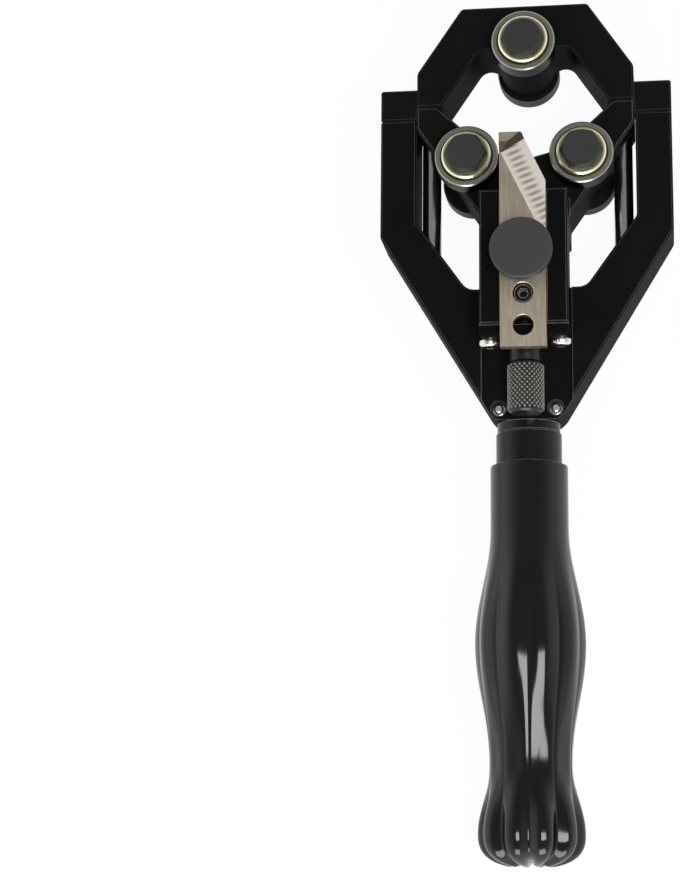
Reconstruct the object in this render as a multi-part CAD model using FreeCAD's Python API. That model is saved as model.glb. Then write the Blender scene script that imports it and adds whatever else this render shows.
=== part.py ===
import FreeCAD, Part
import math
import os

V = FreeCAD.Vector

# Driving dimensions in mm. X runs across the tool, Y from the grip to the head, Z out of the front.
# The sketch origin is the middle of the yoke's foot; the finished parts move by the shift at the end.

# Yoke
yoke_thickness = 20.0
arm_width = 12.5
arm_top = 107.7
outer_knee = 65.1
inner_knee = 70.5
foot_width = 20.8
foot_knee = 2.2
foot_knee_width = 25.4
window_floor = 45.8
window_floor_width = 40.8
window_fillet = 5.0
knee_fillet = 3.0
channel_width = 31.0
channel_depth = 1.6
edge_break = 0.6

# Jaws
jaw_thickness = 22.0
jaw_width = 75.4
jaw_side_clearance = 0.3
seam = 112.2
seam_gap = 0.3
jaw_top = 148.2
jaw_top_width = 44.0
jaw_shoulder = 124.7
arch_wall = 14.1
boss_radius = 9.6
lobe_radius = 4.5
ear_height = 11.3
vee_floor = 91.8
vee_bend_width = 25.2
vee_bend_rise = 3.3
wing_top_width = 7.0
wing_knee = 103.9
stem_width = 29.6
stem_bottom = 64.0
stem_shoulder = 70.7
vee_fillet = 3.0
wing_fillet = 2.0

# Axles with a ball bearing in front of the jaw and one behind it
top_axle = 132.3
low_axle = 90.9
low_axle_pitch = 39.4
axle_diameter = 8.0
bearing_diameter = 22.0
bearing_width = 7.0
spacer_thickness = 0.5
spacer_diameter = 11.0
washer_diameter = 17.0
washer_thickness = 1.6
washer_chamfer = 0.5
head_across_flats = 13.0
head_height = 3.0
head_face_diameter = 12.2
head_chamfer_spread = 3.9
nut_height = 4.0
outer_ring_wall = 1.8
outer_ring_chamfer = 0.5
inner_ring_wall = 2.0
shield_thickness = 0.4
shield_recess = 0.2

# Guide rods
rod_diameter = 6.6
rod_pitch = 67.0
rod_seat_in_yoke = 11.0
rod_seat_in_jaw = 9.0
rod_chamfer = 0.4

# Drive screw, hub nut and grip
screw_diameter = 10.0
screw_tail = 90.0
hub_nut_diameter = 15.4
hub_nut_length = 26.0
collar_diameter = 22.4
collar_length = 11.6
collar_step_diameter = 21.4
collar_step = 3.0
foot_gap = 0.3
journal_diameter = 8.0
journal_length = 13.0
journal_end_gap = 0.5
groove_diameter = 5.2
pin_diameter = 2.8
pin_height = 6.0
thrust_washer_thickness = 1.2
thrust_washer_diameter = 16.0
grip_length = 133.6
grip_neck_radius = 13.2
grip_neck_end = 21.2
grip_bulge_radius = 18.6
grip_bulge = 60.2
grip_waist_radius = 13.6
grip_waist = 100.7
grip_end_radius = 17.8
grip_end_bulge = 123.0
grip_end_flat = 0.4
grip_end_power = 2.6
flute_count = 10
flute_depth_bulge = 1.1
flute_depth_waist = 0.7
flute_depth_end = 2.4
valley_sharpness = 1.5
lobe_points = 4

# Blade block, carriage and blade
block_width = 29.8
block_top = 76.5
block_length = 47.1
block_depth = 15.8
block_top_wall = 6.2
slot_width = 18.8
slot_depth = 14.2
slot_lip = 5.6
groove_width = 16.0
slide_clearance = 0.15
plate_width = 30.2
plate_thickness = 4.1
plate_corner = 1.6
plate_fillet = 0.8
blade_width = 15.5
blade_thickness = 3.5
blade_length = 74.6
blade_proud = 2.3
blade_tip_width = 7.7
blade_shoulder = 16.5
blade_hole_diameter = 7.0
blade_hole_end = 7.4
blade_hole_pitches = [11.2, 12.9]
blade_overhang = 4.5
bevel_start = 5.6
bevel_slope = 0.16
tip_rise = 1.8
tip_land = 3.3
tip_land_width = 6.9
tip_kink = 3.0
tip_slope = 0.55
notch_slope = 0.9
carriage_bottom = 35.8
carriage_top = 67.8
depth_axis_drop = 9.1
depth_screw_diameter = 5.0
depth_journal_diameter = 5.6
depth_screw_tip = 52.0
knob_neck_diameter = 11.0
knob_neck_length = 7.0
knob_diameter = 12.8
knob_length = 17.6
ring_diameter = 9.2
ring_thickness = 1.0
clamp_diameter = 21.0
clamp_height = 8.5
clamp_chamfer = 0.5
clamp_rim = 3.0
clamp_taper = 2.0
clamp_neck_diameter = 13.0
clamp_washer_diameter = 12.0
clamp_washer_thickness = 1.2
stud_diameter = 6.0
stud_screw_wall = 1.0
lock_socket_depth = 2.0
lock_recess = 1.4

# Small screws
keeper_pitch = 19.4
keeper_height = 3.9
keeper_diameter = 4.4
keeper_tip_diameter = 3.2
keeper_tip_height = 1.2
keeper_shank_drop = 2.0
keeper_recess = 1.2
keeper_recess_diameter = 5.4
ear_screw_diameter = 5.0
ear_screw_head_diameter = 8.5
ear_screw_head_height = 5.0
ear_screw_reach = 12.7
plate_screw_diameter = 4.0
plate_screw_head_diameter = 7.0
plate_screw_head_height = 4.0
button_head_diameter = 7.6
button_head_height = 2.2
plate_screw_pitch = 24.0
plate_screw_reach = 10.0
block_screw_pitch = 19.0
block_screw_reach = 8.0

# Fits
running_clearance = 0.05
turning_gap = 0.3
head_clearance = 0.3
overcut = 1.0

# Places that follow from the dimensions above
jaw_half = jaw_width / 2
jaw_face = jaw_thickness / 2
yoke_face = yoke_thickness / 2
arm_inner = jaw_half + jaw_side_clearance
yoke_half = arm_inner + arm_width
channel_floor = yoke_face - channel_depth
keeper_seat = channel_floor - keeper_recess
ear_screw_x = arm_inner + arm_width / 2
ear_screw_seat = arm_top + ear_height - ear_screw_head_height - head_clearance
low_axle_x = low_axle_pitch / 2
axles = {"top": (0, top_axle), "left": (-low_axle_x, low_axle), "right": (low_axle_x, low_axle)}
bearing_back = jaw_face + spacer_thickness
bearing_front = bearing_back + bearing_width
nut_end = bearing_front + nut_height
rod_x = rod_pitch / 2
window_slope = (inner_knee - window_floor) / (arm_inner - window_floor_width / 2)
rod_mouth = inner_knee - (arm_inner - rod_x) * window_slope
block_back = channel_floor + turning_gap
block_front = block_back + block_depth
block_bottom = block_top - block_length
plate_bottom = block_bottom - plate_thickness
slot_floor = block_front - slot_depth
lip_back = block_front - slot_lip
depth_axis = block_front - depth_axis_drop
blade_front = block_front + blade_proud
blade_back = blade_front - blade_thickness
plate_front = blade_back - turning_gap
blade_end = plate_bottom - blade_overhang
first_hole = blade_end + blade_hole_end
hole_heights = [first_hole + sum(blade_hole_pitches[:i]) for i in range(3)]
screw_shoulder = stem_bottom - thrust_washer_thickness
pin_x = (groove_diameter + pin_diameter) / 2 + running_clearance
pin_y = stem_bottom + pin_height
block_screw_y = block_top - block_top_wall / 2
block_screw_seat = -jaw_face + plate_screw_head_height + head_clearance
plate_screw_z = (block_back + plate_front) / 2
stud_end = depth_axis + depth_screw_diameter / 2 + stud_screw_wall
clamp_bore = stud_diameter - 2 * running_clearance
clamp_seat = blade_front + clamp_washer_thickness
knob_neck_top = plate_bottom - turning_gap
knob_barrel_top = knob_neck_top - knob_neck_length
ring_seat = block_bottom + turning_gap
collar_top = -foot_gap - collar_step
grip_top = collar_top - collar_length
grip_end = grip_top - grip_length
shift = V(0, -(jaw_top + grip_end) / 2, nut_end)


def prism(points, z0, z1):
    """Straight-sided solid between two heights over (x, y, corner radius) points."""
    ends = []
    for i, (x, y, radius) in enumerate(points):
        here = V(x, y, z0)
        if radius == 0:
            ends.append((here, None, here))
            continue
        back = V(*points[i - 1][:2], z0) - here
        ahead = V(*points[(i + 1) % len(points)][:2], z0) - here
        half = back.getAngle(ahead) / 2
        back.normalize()
        ahead.normalize()
        middle = back + ahead
        middle.normalize()
        run = radius / math.tan(half)
        sag = radius / math.sin(half) - radius
        ends.append((here + back * run, here + middle * sag, here + ahead * run))
    edges = []
    for i, (start, middle, end) in enumerate(ends):
        if middle:
            edges.append(Part.Arc(start, middle, end).toShape())
        following = ends[(i + 1) % len(ends)][0]
        edges.append(Part.makeLine(end, following))
    return Part.Face(Part.Wire(edges)).extrude(V(0, 0, z1 - z0))


def mirrored_points(right):
    """Outline that is the same on both sides, from its right half listed from top to bottom."""
    return right + [(-x, y, radius) for x, y, radius in reversed(right)]


def box(x0, x1, y0, y1, z0, z1):
    return Part.makeBox(x1 - x0, y1 - y0, z1 - z0, V(x0, y0, z0))


def along_y(diameter, y0, y1, x=0, z=0):
    return Part.makeCylinder(diameter / 2, y1 - y0, V(x, y0, z), V(0, 1, 0))


def along_z(diameter, z0, z1, x=0, y=0):
    return Part.makeCylinder(diameter / 2, z1 - z0, V(x, y, z0), V(0, 0, 1))


def hexagon(flats, z0, z1, x=0, y=0):
    corner = flats / math.sqrt(3)
    turns = [math.radians(60 * i) for i in range(6)]
    points = [(x + corner * math.cos(t), y + corner * math.sin(t), 0) for t in turns]
    return prism(points, z0, z1)


def both_sides(shape):
    return [shape, shape.mirror(V(0, 0, 0), V(1, 0, 0))]


def break_edges(shape, height):
    """Chamfer the outline's edges on the front and back faces."""
    flat = [e for e in shape.Edges if all(abs(abs(v.Z) - height) < 1e-6 for v in e.Vertexes)]
    return shape.makeChamfer(edge_break, flat)


def circular_rims(shape):
    closed = [e for e in shape.Edges if e.isClosed() and len(e.Vertexes) == 1]
    return [e for e in closed if e.Curve.TypeId == "Part::GeomCircle"]


def break_rims(shape, size):
    """Chamfer the widest circular rims at the two ends of a turned piece."""
    rims = circular_rims(shape)
    widest = max(e.Curve.Radius for e in rims)
    return shape.makeChamfer(size, [e for e in rims if abs(e.Curve.Radius - widest) < 1e-6])


def break_end_rim(shape, size, direction):
    """Chamfer the circular rim that lies farthest in a direction."""
    farthest = max(circular_rims(shape), key=lambda e: e.Curve.Center.dot(direction))
    return shape.makeChamfer(size, [farthest])


def yoke_frame():
    """Y-shaped body: two arms round a window, a hub and a shallow front channel for the blade block."""
    outer = [
        (yoke_half, arm_top, 0),
        (yoke_half, outer_knee, knee_fillet),
        (foot_knee_width / 2, foot_knee, 0),
        (foot_width / 2, 0, 0),
    ]
    window = [
        (-window_floor_width / 2, window_floor, window_fillet),
        (-arm_inner, inner_knee, knee_fillet),
        (-arm_inner, arm_top, 0),
    ]
    left = [(-x, y, r) for x, y, r in reversed(outer)] + window[::-1]
    points = outer + left + [(-x, y, r) for x, y, r in window]
    body = break_edges(prism(points, -yoke_face, yoke_face), yoke_face)
    half = channel_width / 2
    cuts = [box(-half, half, -overcut, window_floor + overcut, channel_floor, yoke_face + overcut)]
    cuts.append(along_y(hub_nut_diameter, -overcut, hub_nut_length))
    cuts.append(along_y(screw_diameter + 2 * turning_gap, 0, window_floor + overcut))
    for side in (-1, 1):
        x = side * keeper_pitch / 2
        cuts.append(along_z(keeper_diameter, -keeper_diameter, yoke_face, x, keeper_height))
        cuts.append(along_z(keeper_recess_diameter, keeper_seat, yoke_face, x, keeper_height))
        cuts.append(along_y(rod_diameter, rod_mouth - rod_seat_in_yoke, inner_knee, side * rod_x))
        x = side * ear_screw_x
        cuts.append(along_y(ear_screw_diameter, arm_top - ear_screw_reach, arm_top + overcut, x))
    return body.cut(cuts)


def arch_opening():
    """Space under the upper jaw: sloped walls that run through rounded lobes into the axle boss."""
    rise = V((jaw_top_width - jaw_width) / 2, jaw_top - jaw_shoulder, 0)
    rise.normalize()
    inward = V(-rise.y, rise.x, 0)
    corner = V(jaw_half, jaw_shoulder, 0) + inward * arch_wall
    foot = corner - rise * ((corner.y - seam) / rise.y)
    axle = V(0, top_axle, 0)
    near = foot + inward * lobe_radius - axle
    reach = boss_radius + lobe_radius
    ahead = near.dot(rise)
    climb = -ahead - math.sqrt(ahead**2 - near.dot(near) + reach**2)
    lobe = axle + near + rise * climb
    to_boss = axle - lobe
    to_boss.normalize()
    wall_end = lobe - inward * lobe_radius
    boss_start = lobe + to_boss * lobe_radius
    crown = to_boss - inward
    crown.normalize()
    crown = lobe + crown * lobe_radius
    below = V(foot.x, seam - overcut, 0)

    def flip(p):
        return V(-p.x, p.y, p.z)

    edges = [
        Part.makeLine(foot, wall_end),
        Part.Arc(wall_end, crown, boss_start).toShape(),
        Part.Arc(boss_start, axle - V(0, boss_radius, 0), flip(boss_start)).toShape(),
        Part.Arc(flip(boss_start), flip(crown), flip(wall_end)).toShape(),
        Part.makeLine(flip(wall_end), flip(foot)),
        Part.makeLine(flip(foot), flip(below)),
        Part.makeLine(flip(below), below),
        Part.makeLine(below, foot),
    ]
    face = Part.Face(Part.Wire(edges))
    face.translate(V(0, 0, -jaw_face))
    return face.extrude(V(0, 0, jaw_thickness))


def upper_jaw():
    """Arched head with the top axle's boss and an ear on each side that sits on an arm."""
    right = [(jaw_top_width / 2, jaw_top, 0), (jaw_half, jaw_shoulder, 0), (jaw_half, seam, 0)]
    body = prism(mirrored_points(right), -jaw_face, jaw_face).cut(arch_opening())
    body = break_edges(body, jaw_face)
    ears = []
    cuts = [along_z(axle_diameter + 2 * running_clearance, -jaw_face, jaw_face, 0, top_axle)]
    for side in (-1, 1):
        root = jaw_half - 2 * edge_break
        ear = box(root, yoke_half, arm_top, arm_top + ear_height, -yoke_face, yoke_face)
        ear = break_edges(ear, yoke_face)
        ear = ear.cut(box(0, arm_inner, 0, seam, -jaw_face, jaw_face))
        if side < 0:
            ear = ear.mirror(V(0, 0, 0), V(1, 0, 0))
        ears.append(ear)
        x = side * ear_screw_x
        recess = ear_screw_head_diameter + 2 * head_clearance
        shank = ear_screw_diameter + 2 * running_clearance
        cuts.append(along_y(recess, ear_screw_seat, jaw_top, x))
        cuts.append(along_y(shank, arm_top - overcut, ear_screw_seat, x))
        cuts.append(along_y(rod_diameter, seam - overcut, seam + rod_seat_in_jaw, side * rod_x))
    return body.fuse(ears).removeSplitter().cut(cuts)


def ear_screws():
    reach = ear_screw_seat - arm_top + ear_screw_reach
    screw = cap_screw(ear_screw_diameter, ear_screw_head_diameter, ear_screw_head_height, reach)
    screw.translate(V(ear_screw_x, ear_screw_seat, 0))
    return both_sides(screw)


def cap_screw(diameter, head_diameter, head_height, reach):
    """Cap screw along Y with its head above y = 0 and its shank below."""
    return along_y(head_diameter, 0, head_height).fuse(along_y(diameter, -reach, 0))


def guide_rod(side):
    rod = along_y(rod_diameter, rod_mouth - rod_seat_in_yoke, seam + rod_seat_in_jaw, side * rod_x)
    return break_rims(rod, rod_chamfer)


def lower_jaw():
    """V-shaped jaw with guide holes in its wings, two axle holes and a stem for the drive screw's end."""
    top = seam - seam_gap
    outline = [
        (0, vee_floor, 0),
        (vee_bend_width / 2, vee_floor + vee_bend_rise, vee_fillet),
        (jaw_half - wing_top_width, top, 0),
        (jaw_half, top, 0),
        (jaw_half, wing_knee, wing_fillet),
        (stem_width / 2, stem_shoulder, wing_fillet),
        (stem_width / 2, stem_bottom, 0),
    ]
    points = outline + [(-x, y, r) for x, y, r in reversed(outline[1:])]
    body = break_edges(prism(points, -jaw_face, jaw_face), jaw_face)
    seat_half = block_width / 2 + turning_gap
    low = stem_bottom - overcut
    cuts = [box(-seat_half, seat_half, low, block_top + turning_gap, block_back, jaw_face + overcut)]
    socket_end = stem_bottom + journal_length + journal_end_gap
    cuts.append(along_y(journal_diameter + 2 * running_clearance, low, socket_end))
    for side in (-1, 1):
        bore = axle_diameter + 2 * running_clearance
        cuts.append(along_z(bore, -jaw_face, jaw_face, side * low_axle_x, low_axle))
        cuts.append(along_y(rod_diameter + 2 * running_clearance, stem_bottom, seam, side * rod_x))
        cuts.append(along_z(pin_diameter, -jaw_face, block_back, side * pin_x, pin_y))
        x = side * block_screw_pitch / 2
        shank = plate_screw_diameter + 2 * running_clearance
        head = plate_screw_head_diameter + 2 * head_clearance
        cuts.append(along_z(shank, -jaw_face, jaw_face, x, block_screw_y))
        cuts.append(along_z(head, -jaw_face, block_screw_seat, x, block_screw_y))
    return body.cut(cuts)


def block_screws():
    reach = block_back - block_screw_seat + block_screw_reach
    screw = cap_screw(plate_screw_diameter, plate_screw_head_diameter, plate_screw_head_height, reach)
    screw.rotate(V(0, 0, 0), V(1, 0, 0), -90)
    screw.translate(V(block_screw_pitch / 2, block_screw_y, block_screw_seat))
    return both_sides(screw)


def swivel_pins():
    return both_sides(along_z(pin_diameter, -jaw_face, block_back, pin_x, pin_y))


def axle_bolt(place):
    """Bolt with a low hexagon head in front; its plain shank runs through the jaw and both bearings."""
    x, y = place
    seat = bearing_front + washer_thickness
    head = hexagon(head_across_flats, seat, seat + head_height, x, y)
    face = head_face_diameter / 2
    cone = Part.makeCone(face + head_chamfer_spread / 2, face, head_height, V(x, y, seat), V(0, 0, 1))
    return head.common(cone).fuse(along_z(axle_diameter, -nut_end, seat, x, y))


def axle_washer(place):
    ring = along_z(washer_diameter, bearing_front, bearing_front + washer_thickness, *place)
    ring = break_rims(ring, washer_chamfer)
    return ring.cut(along_z(axle_diameter, 0, nut_end, *place))


def axle_spacers(place):
    front = along_z(spacer_diameter, jaw_face, bearing_back, *place)
    front = front.cut(along_z(axle_diameter, 0, bearing_front, *place))
    return [front, front.mirror(V(0, 0, 0), V(0, 0, 1))]


def axle_nut(place):
    nut = hexagon(head_across_flats, -nut_end, -bearing_front, *place)
    return nut.cut(along_z(axle_diameter, -nut_end, 0, *place))


def front_bearing_rings(place):
    """Inner ring, outer ring and the outer ring's two shields of a front bearing."""
    inner = along_z(axle_diameter + 2 * inner_ring_wall, bearing_back, bearing_front, *place)
    inner = inner.cut(along_z(axle_diameter, 0, bearing_front, *place))
    bore = bearing_diameter - 2 * outer_ring_wall
    outer = break_rims(along_z(bearing_diameter, bearing_back, bearing_front, *place), outer_ring_chamfer)
    outer = outer.cut(along_z(bore, 0, bearing_front, *place))
    shields = []
    hole = axle_diameter + 2 * (inner_ring_wall + turning_gap)
    for z in (bearing_back + shield_recess, bearing_front - shield_recess - shield_thickness):
        disc = along_z(bore, z, z + shield_thickness, *place)
        shields.append(disc.cut(along_z(hole, 0, bearing_front, *place)))
    return inner, outer, shields


def behind(shapes):
    """The same pieces on the back of the jaw."""
    return [s.mirror(V(0, 0, 0), V(0, 0, 1)) for s in shapes]


def hub_nut():
    """Nut that lies flush in the yoke's foot, notched at its sides for the keeper screws."""
    body = along_y(hub_nut_diameter, 0, hub_nut_length)
    cuts = [along_y(screw_diameter + 2 * running_clearance, 0, hub_nut_length)]
    for side in (-1, 1):
        x = side * keeper_pitch / 2
        cuts.append(along_z(keeper_diameter, -keeper_diameter, yoke_face, x, keeper_height))
    return body.cut(cuts)


def keeper_screws():
    """Set screws with bright tips; their shanks lie in notches of the hub nut and keep it still."""
    x = keeper_pitch / 2
    shoulder = keeper_seat - keeper_shank_drop
    tip = along_z(keeper_tip_diameter, shoulder, keeper_seat + keeper_tip_height, x, keeper_height)
    shank = along_z(keeper_diameter, -keeper_diameter, shoulder, x, keeper_height)
    return both_sides(break_end_rim(tip.fuse(shank), edge_break, V(0, 0, 1)))


def drive_screw():
    """Screw fixed in the grip: it runs in the hub nut, and its grooved end turns in the lower jaw."""
    tip = stem_bottom + journal_length
    half_groove = pin_diameter / 2 + running_clearance
    thread = along_y(screw_diameter, grip_top - screw_tail, screw_shoulder)
    journal = along_y(journal_diameter, screw_shoulder, pin_y - half_groove)
    neck = along_y(groove_diameter, pin_y - half_groove, pin_y + half_groove)
    end = along_y(journal_diameter, pin_y + half_groove, tip)
    return thread.fuse([journal, neck, end])


def thrust_washer():
    washer = along_y(thrust_washer_diameter, screw_shoulder, stem_bottom)
    return washer.cut(along_y(journal_diameter, 0, stem_bottom))


def handle_collar():
    """Stepped collar between the grip and the yoke's foot."""
    collar = break_rims(along_y(collar_diameter, grip_top, collar_top), edge_break)
    step = along_y(collar_step_diameter, collar_top, -foot_gap)
    return collar.fuse(step).cut(along_y(screw_diameter, grip_top, 0))


def eased(value, stations):
    """Smooth cosine steps between (position, size) stations."""
    for (p0, s0), (p1, s1) in zip(stations, stations[1:]):
        if value <= p1:
            share = (value - p0) / (p1 - p0)
            return s0 + (s1 - s0) * (1 - math.cos(math.pi * share)) / 2
    return stations[-1][1]


def grip_section(depth):
    """Fluted outline of the grip at a depth below its top; the flutes fade out towards the neck."""
    crests = [
        (0, grip_neck_radius),
        (grip_neck_end, grip_neck_radius),
        (grip_bulge, grip_bulge_radius),
        (grip_waist, grip_waist_radius),
        (grip_end_bulge, grip_end_radius),
    ]
    flutes = [
        (0, 0),
        (grip_neck_end, 0),
        (grip_bulge, flute_depth_bulge),
        (grip_waist, flute_depth_waist),
        (grip_end_bulge, flute_depth_end),
    ]
    crest = eased(depth, crests)
    flute = eased(depth, flutes)
    past = max(0, depth - grip_end_bulge) / (grip_length - grip_end_bulge)
    rounding = (1 - (1 - grip_end_flat**grip_end_power) * past**grip_end_power) ** (1 / grip_end_power)
    points = []
    steps = flute_count * lobe_points
    for i in range(steps):
        turn = 2 * math.pi * i / steps
        valley = ((1 + math.cos(flute_count * turn)) / 2) ** valley_sharpness
        radius = (crest - flute * valley) * rounding
        points.append(V(radius * math.sin(turn), grip_top - depth, radius * math.cos(turn)))
    curve = Part.BSplineCurve()
    curve.interpolate(Points=points, PeriodicFlag=True, Parameters=list(range(steps + 1)))
    return Part.Wire(curve.toShape())


def grip():
    """Fluted hand grip: plain neck, two bulges with a waist between them, and a rounded end."""
    depths = [0, grip_neck_end]
    spans = [(grip_neck_end, grip_bulge, 3), (grip_bulge, grip_waist, 3), (grip_waist, grip_end_bulge, 2)]
    for start, end, parts in spans:
        depths += [start + (end - start) * (i + 1) / parts for i in range(parts)]
    drop = grip_length - grip_end_bulge
    depths += [grip_end_bulge + drop * math.sin(math.radians(a)) for a in (30, 60, 90)]
    body = Part.makeLoft([grip_section(d) for d in depths], True, False)
    return body.cut(along_y(screw_diameter, grip_top - screw_tail, grip_top + overcut))


def blade_block():
    """Housing with a T-slot for the blade carriage; the blade lies in the groove along its front."""
    half = block_width / 2
    body = prism(
        [(-half, block_bottom, 0), (half, block_bottom, 0), (half, block_top, 0), (-half, block_top, 0)],
        block_back,
        block_front,
    )
    rim = [e for e in body.Edges if all(abs(v.Z - block_front) < 1e-6 for v in e.Vertexes)]
    body = body.makeChamfer(edge_break, rim)
    slot_end = block_top - block_top_wall
    low = block_bottom - overcut
    high = block_front + overcut
    slot_half = slot_width / 2
    groove_half = groove_width / 2
    cuts = [box(-slot_half, slot_half, low, slot_end, slot_floor, lip_back)]
    cuts.append(box(-groove_half, groove_half, low, slot_end, lip_back - overcut, high))
    cuts.append(box(-groove_half, groove_half, low, block_top + overcut, plate_front, high))
    for side in (-1, 1):
        x = side * plate_screw_pitch / 2
        hole_end = block_bottom + plate_screw_reach
        cuts.append(along_y(plate_screw_diameter, low, hole_end, x, plate_screw_z))
        x = side * block_screw_pitch / 2
        hole_end = block_back + block_screw_reach
        cuts.append(along_z(plate_screw_diameter, block_back - overcut, hole_end, x, block_screw_y))
    return body.cut(cuts)


def end_plate():
    """Plate under the block with rounded lower corners; the depth screw turns in its middle hole."""
    half = plate_width / 2
    points = [(-half, plate_bottom, plate_corner), (half, plate_bottom, plate_corner)]
    points += [(half, block_bottom, 0), (-half, block_bottom, 0)]
    plate = prism(points, block_back, plate_front)
    front = [e for e in plate.Edges if all(abs(v.Z - plate_front) < 1e-6 for v in e.Vertexes)]
    rim = [e for e in front if min(v.Y for v in e.Vertexes) < block_bottom - 1e-6]
    plate = plate.makeFillet(plate_fillet, rim)
    hole = depth_journal_diameter + 2 * running_clearance
    cuts = [along_y(hole, plate_bottom - overcut, block_bottom + overcut, 0, depth_axis)]
    for side in (-1, 1):
        x = side * plate_screw_pitch / 2
        hole = plate_screw_diameter + 2 * running_clearance
        cuts.append(along_y(hole, plate_bottom - overcut, block_bottom + overcut, x, plate_screw_z))
    return plate.cut(cuts)


def end_plate_screws():
    reach = plate_thickness + plate_screw_reach
    screw = cap_screw(plate_screw_diameter, button_head_diameter, button_head_height, reach)
    screw.rotate(V(0, 0, 0), V(0, 0, 1), 180)
    screw.translate(V(plate_screw_pitch / 2, plate_bottom, plate_screw_z))
    return both_sides(break_end_rim(screw, edge_break, V(0, -1, 0)))


def blade_carriage():
    """T-shaped slide: the depth screw runs through its base and the blade lies on its neck."""
    base_half = slot_width / 2 - slide_clearance
    neck_half = groove_width / 2 - slide_clearance
    floor = slot_floor + slide_clearance
    base = box(-base_half, base_half, carriage_bottom, carriage_top, floor, lip_back - slide_clearance)
    neck = box(-neck_half, neck_half, carriage_bottom, carriage_top, lip_back - overcut, blade_back)
    bore = depth_screw_diameter + 2 * running_clearance
    cuts = [along_y(bore, carriage_bottom - overcut, carriage_top + overcut, 0, depth_axis)]
    for y in hole_heights[1:]:
        cuts.append(along_z(stud_diameter, stud_end, blade_back + overcut, 0, y))
    return base.fuse(neck).removeSplitter().cut(cuts)


def blade():
    """Bar with three holes, a bevel along its slanted edge, and a raised tip with a notch below it."""
    half = blade_width / 2
    tip = blade_end + blade_length
    tip_front = blade_front + tip_rise
    points = [(-half, blade_end, 0), (half, blade_end, 0), (half, tip - blade_shoulder, 0)]
    points += [(blade_tip_width - half, tip, 0), (-half, tip, 0)]
    bar = prism(points, blade_back, tip_front)
    slant = V(blade_width - blade_tip_width, -blade_shoulder, 0)
    slant.normalize()
    outward = V(-slant.y, slant.x, 0)
    side = outward * blade_length
    lift = V(0, 0, tip_rise + overcut)

    def swept(profile, along):
        """A profile drawn out far to both sides."""
        face = Part.Face(Part.makePolygon(profile + profile[:1]))
        face.translate(along * -blade_length)
        return face.extrude(along * 2 * blade_length)

    ridge = V(-half, tip - bevel_start, blade_front)
    bevel_end = ridge + side - V(0, 0, bevel_slope * blade_length)
    face_stock = swept([ridge, bevel_end, ridge + side + lift, ridge - side + lift, ridge - side], slant)
    kink = V(tip_kink - half, tip - tip_land, tip_front)
    notch_edge = V(tip_land_width - tip_kink, tip_land, 0)
    notch_edge.normalize()
    notch_down = V(notch_edge.y, -notch_edge.x, 0)
    tip_stock = []
    for down, edge, slope in ((V(0, -1, 0), V(1, 0, 0), tip_slope), (notch_down, notch_edge, notch_slope)):
        far = kink + down * blade_length
        tip_stock.append(swept([kink, far - V(0, 0, slope * blade_length), far + lift, kink + lift], edge))
    ground = bar.cut(face_stock).fuse(bar.cut(tip_stock)).removeSplitter()
    low = blade_back - overcut
    return ground.cut([along_z(blade_hole_diameter, low, tip_front + overcut, 0, y) for y in hole_heights])


def lock_screw():
    """Set screw in the carriage that locates the blade by its middle hole."""
    y = hole_heights[1]
    top = blade_front - lock_recess
    socket = hexagon(stud_diameter / 2, top - lock_socket_depth, top + overcut, 0, y)
    return along_z(stud_diameter, stud_end, top, 0, y).cut(socket)


def clamp_knob():
    """Turned knob: the thin rim round its face tapers to a neck, which has a blind hole for the stud."""
    rim = clamp_diameter / 2
    neck = clamp_neck_diameter / 2
    top = clamp_seat + clamp_height
    profile = [
        V(0, 0, clamp_seat),
        V(neck, 0, clamp_seat),
        V(neck, 0, top - clamp_rim - clamp_taper),
        V(rim - clamp_chamfer, 0, top - clamp_rim),
        V(rim, 0, top - clamp_rim + clamp_chamfer),
        V(rim, 0, top - clamp_chamfer),
        V(rim - clamp_chamfer, 0, top),
        V(0, 0, top),
    ]
    knob = Part.Face(Part.makePolygon(profile + profile[:1])).revolve(V(0, 0, 0), V(0, 0, 1), 360)
    knob.translate(V(0, hole_heights[2], 0))
    return knob.cut(along_z(clamp_bore, clamp_seat, clamp_seat + clamp_height / 2, 0, hole_heights[2]))


def clamp_stud():
    return along_z(clamp_bore, stud_end, clamp_seat + clamp_height / 2, 0, hole_heights[2])


def clamp_washer():
    ring = along_z(clamp_washer_diameter, blade_front, clamp_seat, 0, hole_heights[2])
    return ring.cut(along_z(clamp_bore, 0, clamp_seat, 0, hole_heights[2]))


def depth_knob():
    """Turning knob under the end plate: plain neck and a knurled barrel."""
    foot = knob_barrel_top - knob_length
    barrel = break_rims(along_y(knob_diameter, foot, knob_barrel_top, 0, depth_axis), edge_break)
    knob = barrel.fuse(along_y(knob_neck_diameter, knob_barrel_top, knob_neck_top, 0, depth_axis))
    return knob.cut(along_y(depth_journal_diameter, foot + knob_length / 2, knob_neck_top, 0, depth_axis))


def depth_screw():
    shoulder = ring_seat + ring_thickness
    journal = along_y(depth_journal_diameter, knob_barrel_top - knob_length / 2, shoulder, 0, depth_axis)
    return journal.fuse(along_y(depth_screw_diameter, shoulder, depth_screw_tip, 0, depth_axis))


def depth_ring():
    """Retaining ring that holds the depth screw in the end plate."""
    ring = along_y(ring_diameter, ring_seat, ring_seat + ring_thickness, 0, depth_axis)
    return ring.cut(along_y(depth_journal_diameter, 0, ring_seat + ring_thickness, 0, depth_axis))


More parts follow.
